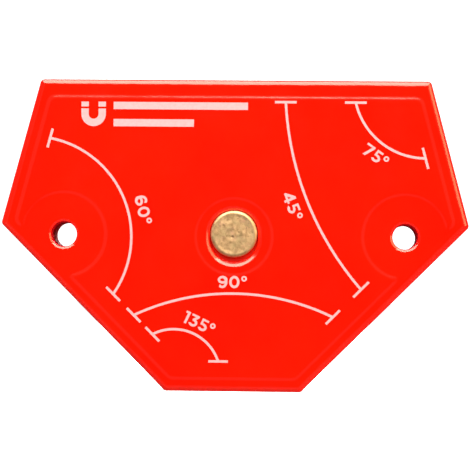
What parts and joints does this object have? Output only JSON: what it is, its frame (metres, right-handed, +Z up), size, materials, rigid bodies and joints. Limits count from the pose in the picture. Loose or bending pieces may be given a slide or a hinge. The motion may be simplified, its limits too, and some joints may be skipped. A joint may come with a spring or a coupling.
{
  "type": "welding magnet holder",
  "caption": "Flat six-sided magnetic holder that clamps steel pieces at set angles for welding, with through holes, a brass rivet and printed angle arcs.",
  "frame": {"origin": "under the middle of the stack, in the plane of the bottom edges", "axes": "+X along the top edge, to the right when the printed face is seen; +Y from the printed face to the rear; +Z up, from the bottom edge to the top edge"},
  "size_m": [0.0952, 0.0144, 0.0636],
  "materials": {
    "red_powder_coat": "gloss powder coat with fine orange peel",
    "painted_bush": "thin red overspray on steel",
    "core_plastic": "fine moulded texture",
    "ferrite": "ground sintered ferrite, matt",
    "brass": "peened and tarnished, mottled",
    "white_ink": "thin pad-printed ink"
  },
  "bodies": {
    "root": {"front_plate": "red_powder_coat", "rear_plate": "red_powder_coat", "core_frame": "core_plastic", "left_hole_bush": "painted_bush", "right_hole_bush": "painted_bush", "centre_rivet": "brass", "magnet_upper_left": "ferrite", "magnet_upper_middle": "ferrite", "magnet_upper_right": "ferrite", "magnet_lower_left": "ferrite", "magnet_lower_right": "ferrite", "magnet_bottom": "ferrite", "mark_45": "white_ink", "mark_60": "white_ink", "mark_75": "white_ink", "mark_90": "white_ink", "mark_135": "white_ink", "label_mark": "white_ink"}
  },
  "joints": []
}
